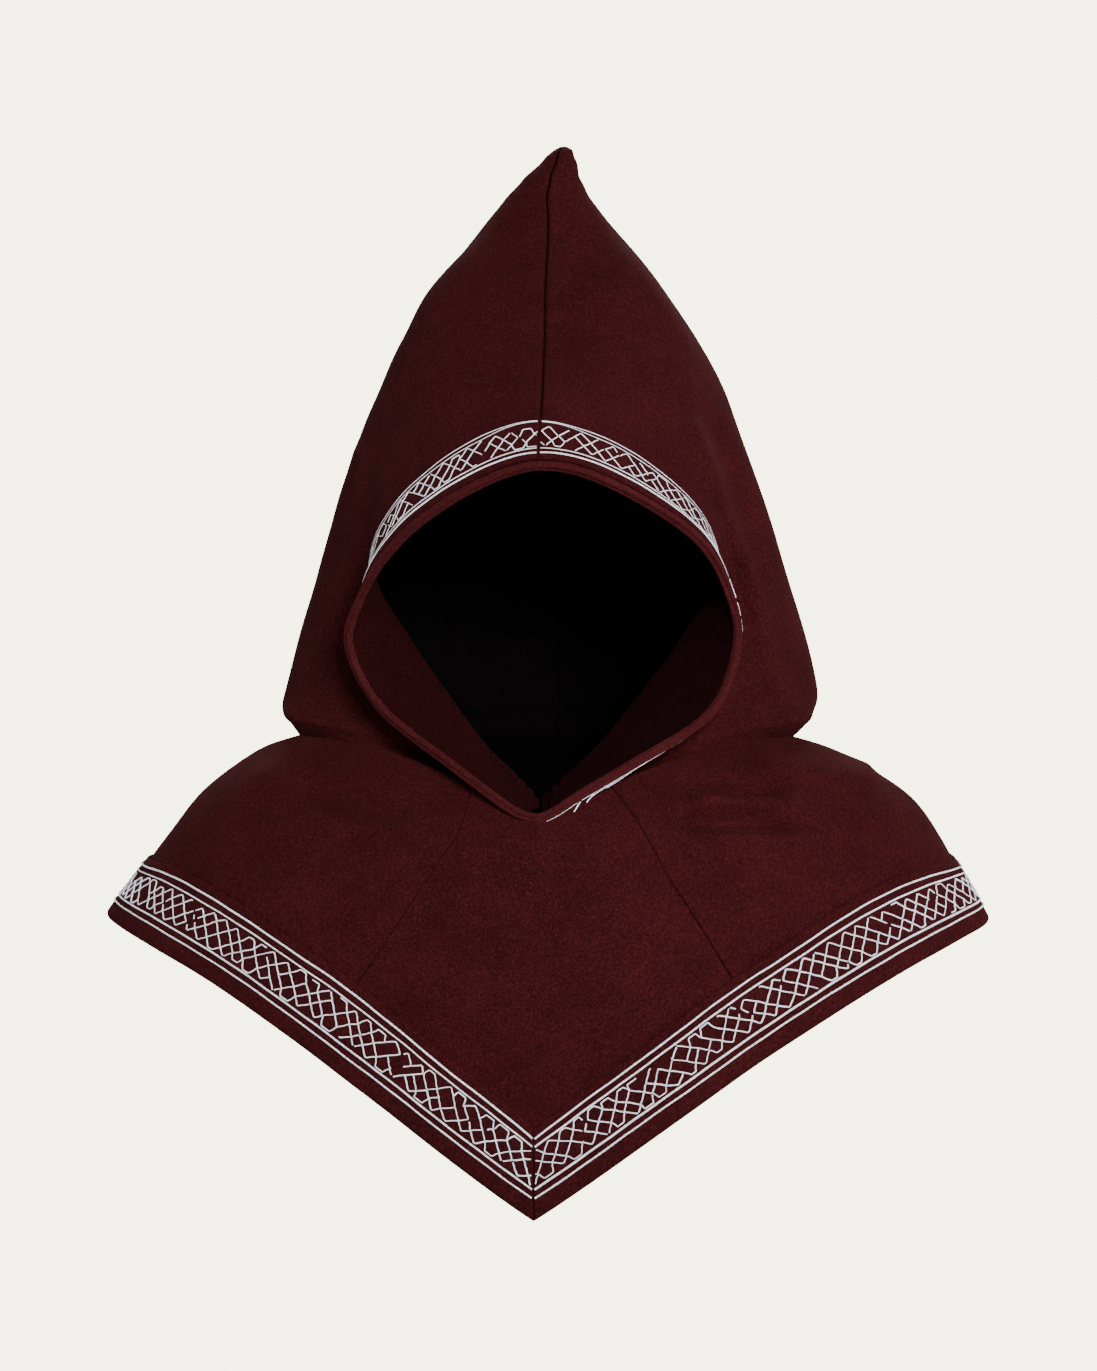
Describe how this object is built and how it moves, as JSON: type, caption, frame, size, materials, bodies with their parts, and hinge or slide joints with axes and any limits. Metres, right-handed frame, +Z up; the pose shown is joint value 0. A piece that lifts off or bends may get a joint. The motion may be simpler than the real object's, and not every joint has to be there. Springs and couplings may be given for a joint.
{
  "type": "hood with a shoulder cape",
  "caption": "Wool hood with a pointed crown, an open face and a shoulder cape with points at front and back, edged with embroidered knotwork bands.",
  "frame": {"origin": "the seat of the crown: on the inner side of the ridge seam, where the hood rests on the top of the head", "axes": "+Z up, -Y out of the face opening, +X towards the wearer's left"},
  "size_m": [0.483, 0.2933, 0.5737],
  "materials": {
    "wool": "matte, fulled wool twill in dark burgundy",
    "band_wool": "matte, the same wool, embroidered in pale lilac thread",
    "binding_wool": "matte, rolled and topstitched edge with a short nap"
  },
  "bodies": {
    "root": {"hood_left": "wool", "hood_right": "wool", "cape_front": "wool", "cape_left": "wool", "cape_right": "wool", "cape_back": "wool", "face_band_left": "band_wool", "face_band_right": "band_wool", "face_binding_left": "binding_wool", "face_binding_right": "binding_wool", "hem_band_front_left": "band_wool", "hem_band_front_right": "band_wool", "hem_band_back_left": "band_wool", "hem_band_back_right": "band_wool"}
  },
  "joints": []
}
